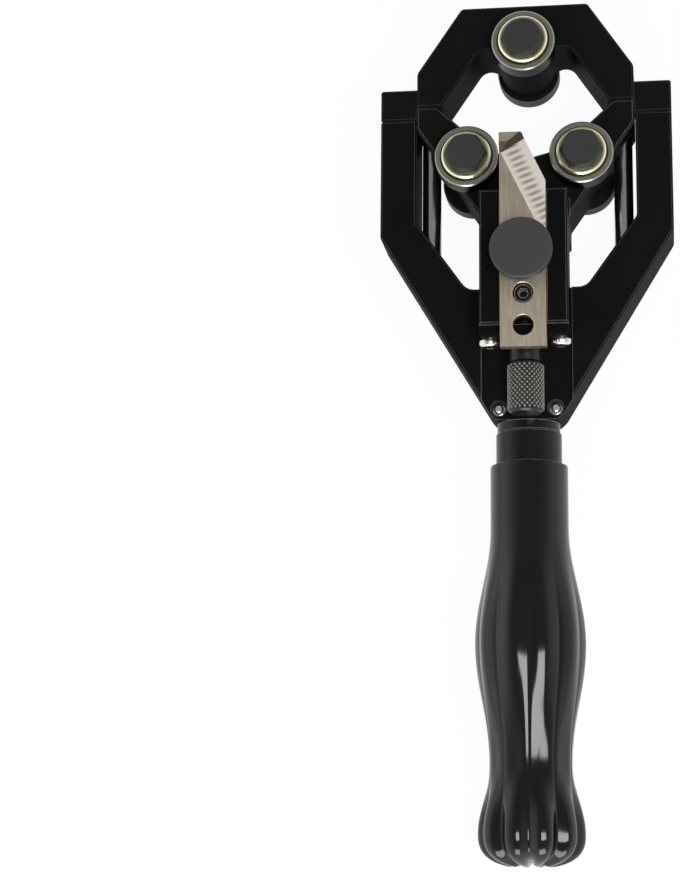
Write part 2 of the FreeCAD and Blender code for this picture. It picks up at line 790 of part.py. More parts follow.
nodes = {
    "yoke_frame": [yoke_frame()],
    "upper_jaw": [upper_jaw()],
    "ear_screws": ear_screws(),
    "left_guide_rod": [guide_rod(-1)],
    "right_guide_rod": [guide_rod(1)],
    "hub_nut": [hub_nut()],
    "keeper_screws": keeper_screws(),
    "lower_jaw": [lower_jaw()],
    "blade_block": [blade_block()],
    "block_screws": block_screws(),
    "swivel_pins": swivel_pins(),
    "end_plate": [end_plate()],
    "end_plate_screws": end_plate_screws(),
    "drive_screw": [drive_screw()],
    "thrust_washer": [thrust_washer()],
    "handle_collar": [handle_collar()],
    "grip": [grip()],
    "blade_carriage": [blade_carriage()],
    "blade": [blade()],
    "lock_screw": [lock_screw()],
    "clamp_knob": [clamp_knob()],
    "clamp_stud": [clamp_stud()],
    "clamp_washer": [clamp_washer()],
    "depth_knob": [depth_knob()],
    "depth_screw": [depth_screw()],
    "depth_ring": [depth_ring()],
}
for name, place in axles.items():
    inner, outer, shields = front_bearing_rings(place)
    nodes[name + "_axle_bolt"] = [axle_bolt(place)]
    nodes[name + "_axle_washer"] = [axle_washer(place)]
    nodes[name + "_axle_spacers"] = axle_spacers(place)
    nodes[name + "_axle_nut"] = [axle_nut(place)]
    nodes[name + "_inner_rings"] = [inner] + behind([inner])
    nodes[name + "_front_outer_ring"] = [outer]
    nodes[name + "_rear_outer_ring"] = behind([outer])
    nodes[name + "_front_shields"] = shields
    nodes[name + "_rear_shields"] = behind(shields)

os.makedirs("parts", exist_ok=True)
for name, shapes in nodes.items():
    part = Part.makeCompound(shapes) if len(shapes) > 1 else shapes[0]
    part.translate(shift)
    part.exportStep("parts/" + name + ".step")
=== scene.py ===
import math
import bmesh
import bpy
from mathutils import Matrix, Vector


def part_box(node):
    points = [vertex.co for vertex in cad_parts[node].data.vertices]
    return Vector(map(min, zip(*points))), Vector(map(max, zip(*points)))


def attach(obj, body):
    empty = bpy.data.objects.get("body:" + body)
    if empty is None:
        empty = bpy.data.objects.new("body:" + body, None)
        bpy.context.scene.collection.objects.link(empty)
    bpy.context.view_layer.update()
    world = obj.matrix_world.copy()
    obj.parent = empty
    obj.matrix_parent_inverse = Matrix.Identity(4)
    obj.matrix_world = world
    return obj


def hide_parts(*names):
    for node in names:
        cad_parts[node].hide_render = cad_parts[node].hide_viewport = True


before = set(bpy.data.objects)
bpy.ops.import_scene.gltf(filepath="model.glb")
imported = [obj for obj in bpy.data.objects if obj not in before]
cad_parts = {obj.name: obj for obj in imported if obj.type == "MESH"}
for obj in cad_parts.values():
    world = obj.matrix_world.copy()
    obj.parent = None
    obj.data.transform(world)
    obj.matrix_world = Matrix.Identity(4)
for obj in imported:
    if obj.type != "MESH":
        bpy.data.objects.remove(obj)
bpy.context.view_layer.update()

# Yoke: one aluminium plate, milled to a Y with a window and a shallow channel down its front.
# It is bead blasted and hard anodised black, an even satin to the eye with the faintest cloudiness.
MM = 0.001

# A Mix node's colour sockets go by number, because its other sockets share their names.
MIX_A = 6
MIX_B = 7
MIX_RESULT = 2


def linear(hex_colour):
    """Turn an sRGB hex colour into the linear RGBA that shader sockets take."""
    parts = [int(hex_colour[i : i + 2], 16) / 255 for i in (1, 3, 5)]
    return [p / 12.92 if p <= 0.04045 else ((p + 0.055) / 1.055) ** 2.4 for p in parts] + [1.0]


def wire(owner, node, inputs):
    """Fill a node's inputs with values, or link them to other nodes' outputs."""
    for name, value in inputs.items():
        if isinstance(value, bpy.types.NodeSocket):
            owner.node_tree.links.new(value, node.inputs[name])
        else:
            node.inputs[name].default_value = value


def add_node(owner, kind, inputs=None, **settings):
    """Add a node to a material or a world, with its settings and inputs."""
    node = owner.node_tree.nodes.new(kind)
    for name, value in settings.items():
        setattr(node, name, value)
    wire(owner, node, inputs or {})
    return node


def new_material(name):
    """A material with its shader and its Object coordinates, which are in metres."""
    material = bpy.data.materials.new(name)
    material.use_nodes = True
    shader = material.node_tree.nodes["Principled BSDF"]
    return material, shader, add_node(material, "ShaderNodeTexCoord").outputs["Object"]


def dress(material, *names):
    """Give CAD nodes a finish in place of their plain one."""
    for name in names:
        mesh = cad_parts[name].data
        mesh.materials.clear()
        mesh.materials.append(material)


def black_with_worn_lit_edges(name, dark, pale, edge, roughness, grain, shine=0.015):
    """A dyed or blackened skin on metal: cloudy black with a grain, drawn coarser than real to show.

    The skin is thin on the broken edges, so the metal shines through there in fine grey lines; these
    lines also paint the edges' highlights.
    The grain is in mm.
    """
    cloud_size = 20 * MM
    edge_round = 0.3 * MM
    grain_depth = 0.02 * MM
    material, shader, place = new_material(name)
    cloud = add_node(
        material, "ShaderNodeTexNoise", {"Vector": place, "Scale": 1 / cloud_size, "Detail": 3.0}
    )
    tint = add_node(
        material,
        "ShaderNodeMix",
        {"Factor": cloud.outputs["Fac"], MIX_A: linear(dark), MIX_B: linear(pale)},
        data_type="RGBA",
    )
    rounded = add_node(material, "ShaderNodeBevel", {"Radius": edge_round}, samples=6)
    straight = add_node(material, "ShaderNodeNewGeometry")
    turned = add_node(
        material,
        "ShaderNodeVectorMath",
        {0: rounded.outputs["Normal"], 1: straight.outputs["Normal"]},
        operation="DOT_PRODUCT",
    )
    broken = add_node(
        material,
        "ShaderNodeMapRange",
        {"Value": turned.outputs["Value"], "From Min": 0.99, "From Max": 0.88},
    )
    # Broken edges get a paler grey: partly worn skin, partly painted edge highlight.
    worn_and_lit_edges = add_node(
        material,
        "ShaderNodeMix",
        {"Factor": broken.outputs["Result"], MIX_A: tint.outputs[MIX_RESULT], MIX_B: linear(edge)},
        data_type="RGBA",
    )
    blast = add_node(
        material, "ShaderNodeTexNoise", {"Vector": place, "Scale": 1 / (grain * MM), "Detail": 2.0}
    )
    polish = add_node(
        material,
        "ShaderNodeMapRange",
        {"Value": cloud.outputs["Fac"], "To Min": roughness - 0.06, "To Max": roughness + 0.06},
    )
    bump = add_node(
        material,
        "ShaderNodeBump",
        {"Strength": 0.1, "Distance": grain_depth, "Height": blast.outputs["Fac"]},
    )
    wire(
        material,
        shader,
        {
            "Base Color": worn_and_lit_edges.outputs[MIX_RESULT],
            "Roughness": polish.outputs["Result"],
            "Normal": bump.outputs["Normal"],
            "Specular IOR Level": shine,
        },
    )
    return material


yoke_black = black_with_worn_lit_edges(
    "black anodised yoke", "#0f0f0f", "#141414", "#6c6c69", roughness=0.5, grain=0.5, shine=0.01
)
dress(yoke_black, "yoke_frame")

# Jaws: milled aluminium, an arch on the yoke's arms and a V that slides between them, with axle bosses.
# They are anodised like the yoke, a little smoother; the V's edges are worn, and their paler lines are
# also painted edge highlights.
# A socket screw of blackened alloy steel, sunk in each ear, holds the arch on the arms.
upper_black = black_with_worn_lit_edges(
    "black anodised upper jaw", "#101010", "#151515", "#4c4c4a", roughness=0.45, grain=0.5
)
# The lower jaw's paler edge grey is painted highlight along the V as well as wear.
lower_black = black_with_worn_lit_edges(
    "black anodised lower jaw", "#101010", "#151515", "#8e8e8a", roughness=0.45, grain=0.5
)
dress(upper_black, "upper_jaw")
dress(lower_black, "lower_jaw")


def black_oxide(name, dark, pale, roughness):
    """Blackened and oiled steel: a dull skin, thin enough for a little steel to show in patches."""
    patch = 2.5 * MM
    material, shader, place = new_material(name)
    wear = add_node(
        material, "ShaderNodeTexNoise", {"Vector": place, "Scale": 1 / patch, "Detail": 4.0}
    )
    tint = add_node(
        material,
        "ShaderNodeMix",
        {"Factor": wear.outputs["Fac"], MIX_A: linear(dark), MIX_B: linear(pale)},
        data_type="RGBA",
    )
    polish = add_node(
        material,
        "ShaderNodeMapRange",
        {"Value": wear.outputs["Fac"], "To Min": roughness + 0.08, "To Max": roughness - 0.08},
    )
    wire(
        material,
        shader,
        {
            "Base Color": tint.outputs[MIX_RESULT],
            "Roughness": polish.outputs["Result"],
            "Metallic": 0.55,
        },
    )
    return material


def deselect():
    """Leave nothing selected, so that an operator acts on the next piece alone."""
    bpy.ops.object.select_all(action="DESELECT")


def take(*pieces):
    """Select these pieces alone, with the first one active."""
    deselect()
    for piece in pieces:
        piece.select_set(True)
    bpy.context.view_layer.objects.active = pieces[0]


def added(name):
    """The piece that an operator has just added, under its name."""
    piece = bpy.context.active_object
    piece.name = piece.data.name = name
    return piece


def pick(piece, test, kind="faces"):
    """In edit mode, select only the faces, edges or verts that pass a test."""
    bpy.ops.mesh.select_mode(type={"faces": "FACE", "edges": "EDGE", "verts": "VERT"}[kind])
    bpy.ops.mesh.select_all(action="DESELECT")
    mesh = bmesh.from_edit_mesh(piece.data)
    for item in getattr(mesh, kind):
        if test(item):
            item.select_set(True)
    mesh.select_flush_mode()
    bmesh.update_edit_mesh(piece.data)


def everything():
    """In edit mode, select all of a piece."""
    bpy.ops.mesh.select_mode(type="VERT")
    bpy.ops.mesh.select_all(action="SELECT")


def carve(piece, cutter, operation="DIFFERENCE"):
    """Cut a piece with another one, which is used up."""
    cut = piece.modifiers.new("cut", "BOOLEAN")
    cut.operation = operation
    cut.solver = "EXACT"
    cut.object = cutter
    bpy.context.view_layer.objects.active = piece
    bpy.ops.object.modifier_apply(modifier=cut.name)
    bpy.data.objects.remove(cutter)


def settle(piece, place=(0, 0, 0), turn=(0, 0, 0)):
    """Turn and move a piece, then put its place into its mesh."""
    take(piece)
    piece.rotation_euler = turn
    piece.location = place
    bpy.ops.object.transform_apply(location=True, rotation=True, scale=True)


def twin(piece, name):
    """A copy of a piece with its own mesh."""
    other = piece.copy()
    other.data = piece.data.copy()
    other.name = other.data.name = name
    bpy.context.collection.objects.link(other)
    return other


def joined(name, pieces):
    """One piece out of several."""
    take(*pieces)
    bpy.ops.object.join()
    pieces[0].name = pieces[0].data.name = name
    return pieces[0]


def smooth(piece, degrees):
    """Shade a piece as round wherever its faces meet at less than an angle."""
    take(piece)
    bpy.ops.object.shade_smooth_by_angle(angle=math.radians(degrees))


def socket_screw(name, head, height, rim, shank, reach, flats):
    """Socket screw with its head standing on z = 0; head and shank are diameters."""
    end_break = 0.4 * MM
    socket_depth = 0.6 * height
    deselect()
    bpy.ops.mesh.primitive_cylinder_add(
        vertices=48, radius=head / 2, depth=height, location=(0, 0, height / 2)
    )
    screw = added(name)
    settle(screw, screw.location)
    bpy.ops.object.mode_set(mode="EDIT")
    pick(screw, lambda f: f.normal.z > 0.9)
    bpy.ops.mesh.bevel(offset=rim, segments=5, affect="EDGES")
    pick(screw, lambda f: f.normal.z < -0.9)
    bpy.ops.mesh.inset(thickness=(head - shank) / 2)
    bpy.ops.mesh.extrude_region_move(TRANSFORM_OT_translate={"value": (0, 0, -reach)})
    bpy.ops.mesh.bevel(offset=end_break, segments=1, affect="EDGES")
    bpy.ops.object.mode_set(mode="OBJECT")
    deselect()
    bpy.ops.mesh.primitive_cylinder_add(
        vertices=6, radius=flats / math.sqrt(3), depth=2 * socket_depth, location=(0, 0, height)
    )
    carve(screw, added("socket_broach"))
    smooth(screw, 30)
    return screw


def pair(name, screw, aside, place, turn):
    """Set a screw and its copy equally far to the right and to the left, as one piece."""
    left_screw = twin(screw, "left_" + screw.name)
    settle(screw, (aside, *place), turn)
    settle(left_screw, (-aside, *place), turn)
    return joined(name, [screw, left_screw])


low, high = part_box("ear_screws")
ear_head = 8.5 * MM
ear_head_height = 5.0 * MM
ear_screw = socket_screw(
    "ear_screw",
    head=ear_head,
    height=ear_head_height,
    rim=0.5 * MM,
    shank=5.0 * MM,
    reach=high.y - low.y - ear_head_height,
    flats=4.0 * MM,
)
oxide = black_oxide("black oxide screw", "#0c0b0a", "#242322", roughness=0.38)
ear_screw.data.materials.append(oxide)
ear_seat = (high.y - ear_head_height, (low.z + high.z) / 2)
ear_pair = pair("ear_socket_screws", ear_screw, high.x - ear_head / 2, ear_seat, (-math.pi / 2, 0, 0))
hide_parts("ear_screws")
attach(ear_pair, "frame")

# Guide rods: cold drawn steel bar, ground round and polished, pressed into the yoke and the jaw.
# The grinding wheel leaves fine rings, so the shine runs along the rod in one long streak.
# The two pins that hold the drive screw in the lower jaw are cut from the same bar.


def bright_steel(name, dark, pale, roughness, marks, stretch=(1, 1, 1)):
    """Bare or plated metal; its fine marks, stretched along one way, break up what it mirrors.

    The marks are in mm, and drawn coarser than real to show.
    """
    material, shader, place = new_material(name)
    lay = add_node(
        material,
        "ShaderNodeMapping",
        {"Vector": place, "Scale": [share / (marks * MM) for share in stretch]},
    )
    noise = add_node(
        material,
        "ShaderNodeTexNoise",
        {"Vector": lay.outputs["Vector"], "Scale": 1.0, "Detail": 4.0},
    )
    tone = add_node(
        material,
        "ShaderNodeMix",
        {"Factor": noise.outputs["Fac"], MIX_A: linear(dark), MIX_B: linear(pale)},
        data_type="RGBA",
    )
    polish = add_node(
        material,
        "ShaderNodeMapRange",
        {"Value": noise.outputs["Fac"], "To Min": roughness * 0.75, "To Max": roughness * 1.25},
    )
    wire(
        material,
        shader,
        {
            "Base Color": tone.outputs[MIX_RESULT],
            "Roughness": polish.outputs["Result"],
            "Metallic": 1.0,
        },
    )
    return material


rod_steel = bright_steel(
    "ground and polished rod", "#b4b3af", "#d2d1cd", roughness=0.2, marks=0.6, stretch=(0.2, 1, 0.2)
)
dress(rod_steel, "left_guide_rod", "right_guide_rod", "swivel_pins")

# Hub nut and its keepers: a turned bronze nut pressed into the yoke's foot for the drive screw.
# Two zinc-plated set screws, bright at their tips, stand in recesses beside it and keep it from turning.
# The bronze, and the thrust washer cut from it, is warm and dull, with a lathe's rings round it.
bronze = bright_steel(
    "turned bronze", "#8a6a38", "#a98650", roughness=0.34, marks=0.4, stretch=(1, 0.2, 1)
)
dress(bronze, "hub_nut", "thrust_washer")
keeper_zinc = bright_steel("bright zinc set screw", "#c9c8c3", "#e6e5e0", roughness=0.25, marks=0.5)
dress(keeper_zinc, "keeper_screws")

# Axle bolts: M8 hexagon bolts with low heads, blackened to a dull grey, each with a plated washer.
# The washer's zinc is passivated pale yellow; it is painted darker towards the middle as shade round the
# bolt's head.
# They carry the bearings in front of the jaw and behind it, and a nut closes each at the back.
bolt_oxide = black_oxide("black oxide bolt", "#2a2b2a", "#3c3d3b", roughness=0.5)
dress(bolt_oxide, "top_axle_bolt", "left_axle_bolt", "right_axle_bolt")


def stepped_steel(name, node, step, inside, outside):
    """Steel round a node's own axis, with one pair of tones inside a radius and another outside it.

    Each pair alternates in fine streaks, drawn coarser than real to show.
    """
    blur = 0.06 * MM
    streak = 0.6 * MM
    low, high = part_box(node)
    middle = (low + high) / 2
    material, shader, place = new_material(name)
    centred = add_node(
        material,
        "ShaderNodeMapping",
        {"Vector": place, "Location": (-middle.x, -middle.y, 0), "Scale": (1, 1, 0)},
    )
    from_axis = add_node(
        material, "ShaderNodeVectorMath", {0: centred.outputs["Vector"]}, operation="LENGTH"
    )
    beyond = add_node(
        material,
        "ShaderNodeMapRange",
        {"Value": from_axis.outputs["Value"], "From Min": step - blur, "From Max": step + blur},
    )
    streaks = add_node(
        material, "ShaderNodeTexNoise", {"Vector": place, "Scale": 1 / streak, "Detail": 4.0}
    )
    tones = [
        add_node(
            material,
            "ShaderNodeMix",
            {"Factor": streaks.outputs["Fac"], MIX_A: linear(dark), MIX_B: linear(pale)},
            data_type="RGBA",
        ).outputs[MIX_RESULT]
        for dark, pale in (inside, outside)
    ]
    tone = add_node(
        material,
        "ShaderNodeMix",
        {"Factor": beyond.outputs["Result"], MIX_A: tones[0], MIX_B: tones[1]},
        data_type="RGBA",
    )
    wire(material, shader, {"Base Color": tone.outputs[MIX_RESULT], "Roughness": 0.3, "Metallic": 1.0})
    return material


# Inside this radius the washer is painted darker as shade round the bolt's head.
shaded_zinc = ("#8f8a70", "#aaa588")
clean_zinc = ("#e6e0b8", "#faf6dc")
shade_radius = 7.6 * MM
for axle in ("top", "left", "right"):
    washer = axle + "_axle_washer"
    finish = "yellow passivated zinc, " + axle
    dress(stepped_steel(finish, washer, shade_radius, shaded_zinc, clean_zinc), washer)

low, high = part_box("top_axle_nut")
nut_flats = 13.0 * MM
nut_height = high.z - low.z
nut_round = 0.585 * nut_flats
nut_chamfer = 1.3 * MM
nut_bore = 8.0 * MM
deselect()
bpy.ops.mesh.primitive_cylinder_add(vertices=6, radius=nut_flats / math.sqrt(3), depth=nut_height)
nut = added("nut_blank")
settle(nut, turn=(0, 0, math.pi / 6))
deselect()
bpy.ops.mesh.primitive_cylinder_add(vertices=64, radius=nut_round, depth=nut_height)
round_off = added("nut_rounding")
bpy.ops.object.mode_set(mode="EDIT")
pick(round_off, lambda f: abs(f.normal.z) > 0.9)
bpy.ops.mesh.bevel(offset=nut_chamfer, offset_type="WIDTH", segments=1, affect="EDGES")
bpy.ops.object.mode_set(mode="OBJECT")
carve(nut, round_off, "INTERSECT")
deselect()
bpy.ops.mesh.primitive_cylinder_add(vertices=48, radius=nut_bore / 2, depth=2 * nut_height)
carve(nut, added("nut_drill"))
smooth(nut, 20)
nut.data.materials.append(oxide)
for axle, body in (("top", "frame"), ("left", "lower_jaw"), ("right", "lower_jaw")):
    low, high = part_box(axle + "_axle_nut")
    axle_nut = twin(nut, axle + "_hexagon_nut")
    settle(axle_nut, (low + high) / 2)
    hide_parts(axle + "_axle_nut")
    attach(axle_nut, body)
bpy.data.objects.remove(nut)

# Bearings: sealed ball bearings of hardened steel, with ground faces and pressed steel shields.
# Their running surface is painted nearly black as dark reflection and shade, and so are the rear
# bearings, which stand in shade; the shields are a dark olive, painted as the shade of their recess.
# The shields' dark olive is painted shade of their recess behind the washer.
shaded_shield_steel = bright_steel("bearing shield painted dark as shade", "#35332a", "#4d4a3b", roughness=0.42, marks=0.8)
# The rear bearings are painted black as shade and dark reflection.
rear_bearing_shade = black_oxide("rear bearing painted black as shade", "#0e0e0d", "#191918", roughness=0.4)
ground_face = ("#85847b", "#b0afa5")
# Outside the face radius the ring's running surface is painted near black as dark reflection and shade.
dark_reflection_rim = ("#20201e", "#2b2b28")
face_radius = 10.9 * MM
for axle in ("top", "left", "right"):
    ring = axle + "_front_outer_ring"
    finish = "ground bearing ring, " + axle
    ring_steel = stepped_steel(finish, ring, face_radius, ground_face, dark_reflection_rim)
    dress(ring_steel, ring, axle + "_inner_rings", axle + "_axle_spacers")
    dress(shaded_shield_steel, axle + "_front_shields")
    dress(rear_bearing_shade, axle + "_rear_outer_ring", axle + "_rear_shields")

# Blade block, carriage and end plate: milled aluminium, anodised black, screwed to the lower jaw's stem.
# The cut is finer than a blasted face, so it is smoother to the eye; its clear grey edges are worn and
# also painted edge highlights.
# Two bright button screws hold the plate under the block; two blackened ones hold the block from behind.
block_black = black_with_worn_lit_edges(
    "black anodised block", "#0c0c0c", "#111111", "#7c7c78", roughness=0.4, grain=0.4
)
dress(block_black, "blade_block", "end_plate", "blade_carriage")
low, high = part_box("end_plate_screws")
button_head = 7.6 * MM
button_height = 2.2 * MM
button = socket_screw(
    "button_screw",
    head=button_head,
    height=button_height,
    rim=1.6 * MM,
    shank=4.0 * MM,
    reach=high.y - low.y - button_height,
    flats=2.5 * MM,
)
button_zinc = bright_steel("bright zinc button screw", "#cfcec9", "#eceae5", roughness=0.2, marks=0.8)
button.data.materials.append(button_zinc)
button_seat = (low.y + button_height, (low.z + high.z) / 2)
buttons = pair(
    "end_plate_button_screws", button, high.x - button_head / 2, button_seat, (math.pi / 2, 0, 0)
)
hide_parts("end_plate_screws")
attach(buttons, "lower_jaw")
low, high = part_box("block_screws")
block_head = 7.0 * MM
block_head_height = 4.0 * MM
block_screw = socket_screw(
    "block_screw",
    head=block_head,
    height=block_head_height,
    rim=0.4 * MM,
    shank=4.0 * MM,
    reach=high.z - low.z - block_head_height,
    flats=3.0 * MM,
)
block_screw.data.materials.append(oxide)
block_seat = ((low.y + high.y) / 2, low.z + block_head_height)
block_pair = pair(
    "block_socket_screws", block_screw, high.x - block_head / 2, block_seat, (math.pi, 0, 0)
)
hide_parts("block_screws")
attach(block_pair, "lower_jaw")

# Blade: a bar of hardened tool steel, surface ground, with three holes to set it further out.
# A wheel has ground a rippled bevel along its slanted edge, and a notch that leaves its tip raised.
# A blackened screw, its rim painted bright as highlight, locks it to the carriage through the middle
# hole.
low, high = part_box("blade")
tip_width = 7.7 * MM
slant_drop = 16.5 * MM
tip_rise = 1.8 * MM
edge_break = 0.15 * MM
face_z = high.z - tip_rise
slant = Vector((high.x - low.x - tip_width, -slant_drop, 0)).normalized()
outward = Vector((-slant.y, slant.x, 0))
deselect()
bpy.ops.mesh.primitive_cube_add(size=1, location=(low + high) / 2, scale=high - low)
blade = added("ground_blade")
settle(blade, blade.location)
bpy.ops.object.mode_set(mode="EDIT")
everything()
bpy.ops.mesh.bisect(
    plane_co=(low.x + tip_width, high.y, 0), plane_no=outward, clear_outer=True, use_fill=True
)
everything()
bpy.ops.mesh.bevel(offset=edge_break, segments=1, affect="EDGES")
bpy.ops.object.mode_set(mode="OBJECT")
tip = twin(blade, "blade_tip")

# The bevel's wheel falls away from its ridge, and its ripple grows with the distance from there.
wheel_half = 40 * MM
stroke = 160 * MM
stroke_rows = 416
bevel_fall = 6.4 * MM
ripple = 2.3 * MM
ripple_height = 0.15 * MM
wheel_thickness = 10 * MM
ridge_back = 5.6 * MM
ridge = Vector((low.x, high.y - ridge_back, face_z))
deselect()
bpy.ops.mesh.primitive_grid_add(x_subdivisions=2, y_subdivisions=stroke_rows, size=1)
bevel_wheel = added("bevel_wheel")
bevel_wheel.scale = (2 * wheel_half, stroke, 1)
settle(bevel_wheel)
for vert in bevel_wheel.data.vertices:
    if vert.co.x > MM:
        vert.co.z -= bevel_fall + ripple_height * math.sin(2 * math.pi * vert.co.y / ripple)
bpy.ops.object.mode_set(mode="EDIT")
everything()
bpy.ops.mesh.extrude_region_move(TRANSFORM_OT_translate={"value": (0, 0, wheel_thickness)})
everything()
bpy.ops.mesh.normals_make_consistent(inside=False)
bpy.ops.object.mode_set(mode="OBJECT")
settle(bevel_wheel, ridge, (0, 0, math.atan2(slant.x, -slant.y)))
carve(blade, bevel_wheel)

# Two wheels leave the raised tip: one runs across it, the other slants up from a kink to its corner.
kink_in = 3.0 * MM
kink_back = 3.3 * MM
kink = Vector((low.x + kink_in, high.y - kink_back, high.z))
notch_run = 3.9 * MM
notch_turn = math.atan2(kink_back, notch_run)
notch_reach = 90 * MM
notch_height = 60 * MM
for bearing, fall in ((0, 0.55), (notch_turn, 1.6)):
    deselect()
    bpy.ops.mesh.primitive_cube_add(
        size=1,
        location=(0, -notch_reach / 2, notch_height / 2),
        scale=(stroke, notch_reach, notch_height),
    )
    notch_wheel = added("notch_wheel")
    settle(notch_wheel, notch_wheel.location)
    bpy.ops.object.mode_set(mode="EDIT")
    pick(notch_wheel, lambda v: v.co.y < -MM and v.co.z < MM, "verts")
    bpy.ops.transform.translate(value=(0, 0, -notch_reach * fall))
    bpy.ops.object.mode_set(mode="OBJECT")
    settle(notch_wheel, kink, (0, 0, bearing))
    carve(tip, notch_wheel)
carve(blade, tip, "UNION")

# The drill's end widens to a cone, which breaks each hole's edge.
hole = 7.0 * MM
drill_length = 10 * MM
hole_break = 0.2 * MM
cone_height = MM
cone_widening = 1.3
for hole_up in (7.4 * MM, 18.6 * MM, 31.5 * MM):
    mouth = Vector((0, low.y + hole_up, face_z))
    deselect()
    bpy.ops.mesh.primitive_cylinder_add(vertices=48, radius=hole / 2, depth=drill_length)
    drill = added("hole_drill")
    settle(drill, mouth - Vector((0, 0, drill_length / 2 + hole_break)))
    bpy.ops.object.mode_set(mode="EDIT")
    pick(drill, lambda f: f.normal.z > 0.9)
    bpy.ops.mesh.extrude_region_move(TRANSFORM_OT_translate={"value": (0, 0, cone_height)})
    bpy.ops.transform.resize(value=(cone_widening, cone_widening, 1), center_override=mouth)
    bpy.ops.object.mode_set(mode="OBJECT")
    carve(blade, drill)
smooth(blade, 12)

# Surface grinding leaves long scratches down the bar, and it looks warm grey and dull.
tool_steel = bright_steel(
    "surface ground tool steel", "#a79b88", "#c6bbaa", roughness=0.4, marks=0.5, stretch=(1, 0.08, 1)
)

# The rippled grind is pale, with a brown-grey chatter band in each hollow, which also paints the
# ripples' shade, fading to both sides.
# A wave texture's bands lie pi / 10 apart at a scale of one.
bevel_half = 4 * MM
bevel_middle = (ridge + outward * bevel_half).dot(outward)
grind, shader, place = new_material("rippled grind")
along = add_node(
    grind,
    "ShaderNodeMapping",
    {
        "Vector": place,
        "Rotation": (0, 0, -math.atan2(slant.y, slant.x)),
        "Location": (0, -bevel_middle, 0),
    },
)
chatter_and_ripple_shade = add_node(
    grind,
    "ShaderNodeTexWave",
    {
        "Vector": along.outputs["Vector"],
        "Scale": math.pi / (10 * ripple),
        "Distortion": 1.0,
        "Detail Scale": 0.8,
    },
    wave_type="BANDS",
    bands_direction="X",
)
across = add_node(grind, "ShaderNodeSeparateXYZ", {"Vector": along.outputs["Vector"]})
aside = add_node(grind, "ShaderNodeMath", {0: across.outputs["Y"]}, operation="ABSOLUTE")
fading = add_node(
    grind,
    "ShaderNodeMapRange",
    {
        "Value": aside.outputs[0],
        "From Min": 0.8 * MM,
        "From Max": 3.8 * MM,
        "To Min": 0.85,
        "To Max": 0.0,
    },
    interpolation_type="SMOOTHSTEP",
)
chatter_shade_mask = add_node(
    grind, "ShaderNodeMath", {0: chatter_and_ripple_shade.outputs["Fac"], 1: fading.outputs[0]}, operation="MULTIPLY"
)
tone = add_node(
    grind,
    "ShaderNodeMix",
    {"Factor": chatter_shade_mask.outputs[0], MIX_A: linear("#ddd3cb"), MIX_B: linear("#857669")},
    data_type="RGBA",
)
wire(grind, shader, {"Base Color": tone.outputs[MIX_RESULT], "Roughness": 0.4, "Metallic": 0.4})

# The notch is ground steeply and left dull; its dark colour is a painted reflection of the dark jaw.
notch = bright_steel("dull ground notch, painted dark as reflection", "#37332a", "#575245", roughness=0.5, marks=0.6)
for material in (tool_steel, grind, notch):
    blade.data.materials.append(material)
notch_steepest = 0.4
bevel_steepest = 0.93
bevel_lean = 0.08
notch_foot = ridge.y - 3 * MM
for face in blade.data.polygons:
    if notch_steepest < face.normal.z < bevel_steepest and face.center.y > notch_foot:
        face.material_index = 2
    elif face.normal.z > bevel_steepest and face.normal.dot(outward) > bevel_lean:
        face.material_index = 1
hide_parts("blade")
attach(blade, "blade_carriage")
# The lock screw's pale edge colour is a painted highlight on its rim and socket edges.
lock_black = black_with_worn_lit_edges(
    "black lock screw, rim painted as highlight", "#0b0a0a", "#151413", "#c4c0b6", roughness=0.3, grain=0.4, shine=0.3
)
dress(lock_black, "lock_screw")

# Clamp knob: aluminium, turned on a lathe and anodised black, with a blackened stud pressed into it.
# The turning tool leaves faint rings round the middle of its face; a polished washer lies under it.
# The rings are drawn coarser than real to show.
low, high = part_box("clamp_knob")
ring_pitch = 0.7 * MM
ring_depth = 0.02 * MM
knob_black, shader, place = new_material("black turned knob")
centred = add_node(
    knob_black, "ShaderNodeMapping", {"Vector": place, "Location": [-c for c in (low + high) / 2]}
)
tool_rings = add_node(
    knob_black,
    "ShaderNodeTexWave",
    {
        "Vector": centred.outputs["Vector"],
        "Scale": math.pi / (10 * ring_pitch),
        "Distortion": 0.4,
        "Detail": 2.0,
    },
    wave_type="RINGS",
    rings_direction="Z",
)
shade = add_node(
    knob_black,
    "ShaderNodeMix",
    {"Factor": tool_rings.outputs["Fac"], MIX_A: linear("#2a2b2a"), MIX_B: linear("#323331")},
    data_type="RGBA",
)
bump = add_node(
    knob_black,
    "ShaderNodeBump",
    {"Strength": 0.15, "Distance": ring_depth, "Height": tool_rings.outputs["Fac"]},
)
wire(
    knob_black,
    shader,
    {
        "Base Color": shade.outputs[MIX_RESULT],
        "Normal": bump.outputs["Normal"],
        "Roughness": 0.55,
        "Metallic": 0.2,
    },
)
dress(knob_black, "clamp_knob")
dress(oxide, "clamp_stud")
dress(rod_steel, "clamp_washer")

# Depth knob: blackened steel, turned with a plain neck and rolled with a diamond knurl on its barrel.
# The knurl's points are rubbed bright and are also painted pale as highlight, in slanting rows over
# grooves painted dark as shade.
# The depth screw's journal is pressed into it, and a ring behind the end plate keeps both in place.
low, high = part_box("depth_knob")
axis_z = (low.z + high.z) / 2
columns = 22
rows = 9
barrel = 17.6 * MM
groove = 5.78 * MM
point = 0.58 * MM
rim = 0.7 * MM
neck_radius = 5.5 * MM
slack = 0.001 * MM
deselect()
bpy.ops.mesh.primitive_circle_add(
    vertices=columns,
    radius=groove - rim,
    location=(0, low.y, axis_z),
    rotation=(math.pi / 2, 0, 0),
)
knob = added("knurled_depth_knob")
settle(knob, knob.location, knob.rotation_euler)
bpy.ops.object.mode_set(mode="EDIT")
everything()
level = low.y
width = groove - rim
steps = [(rim, groove)] + [((barrel - 2 * rim) / rows, groove)] * rows
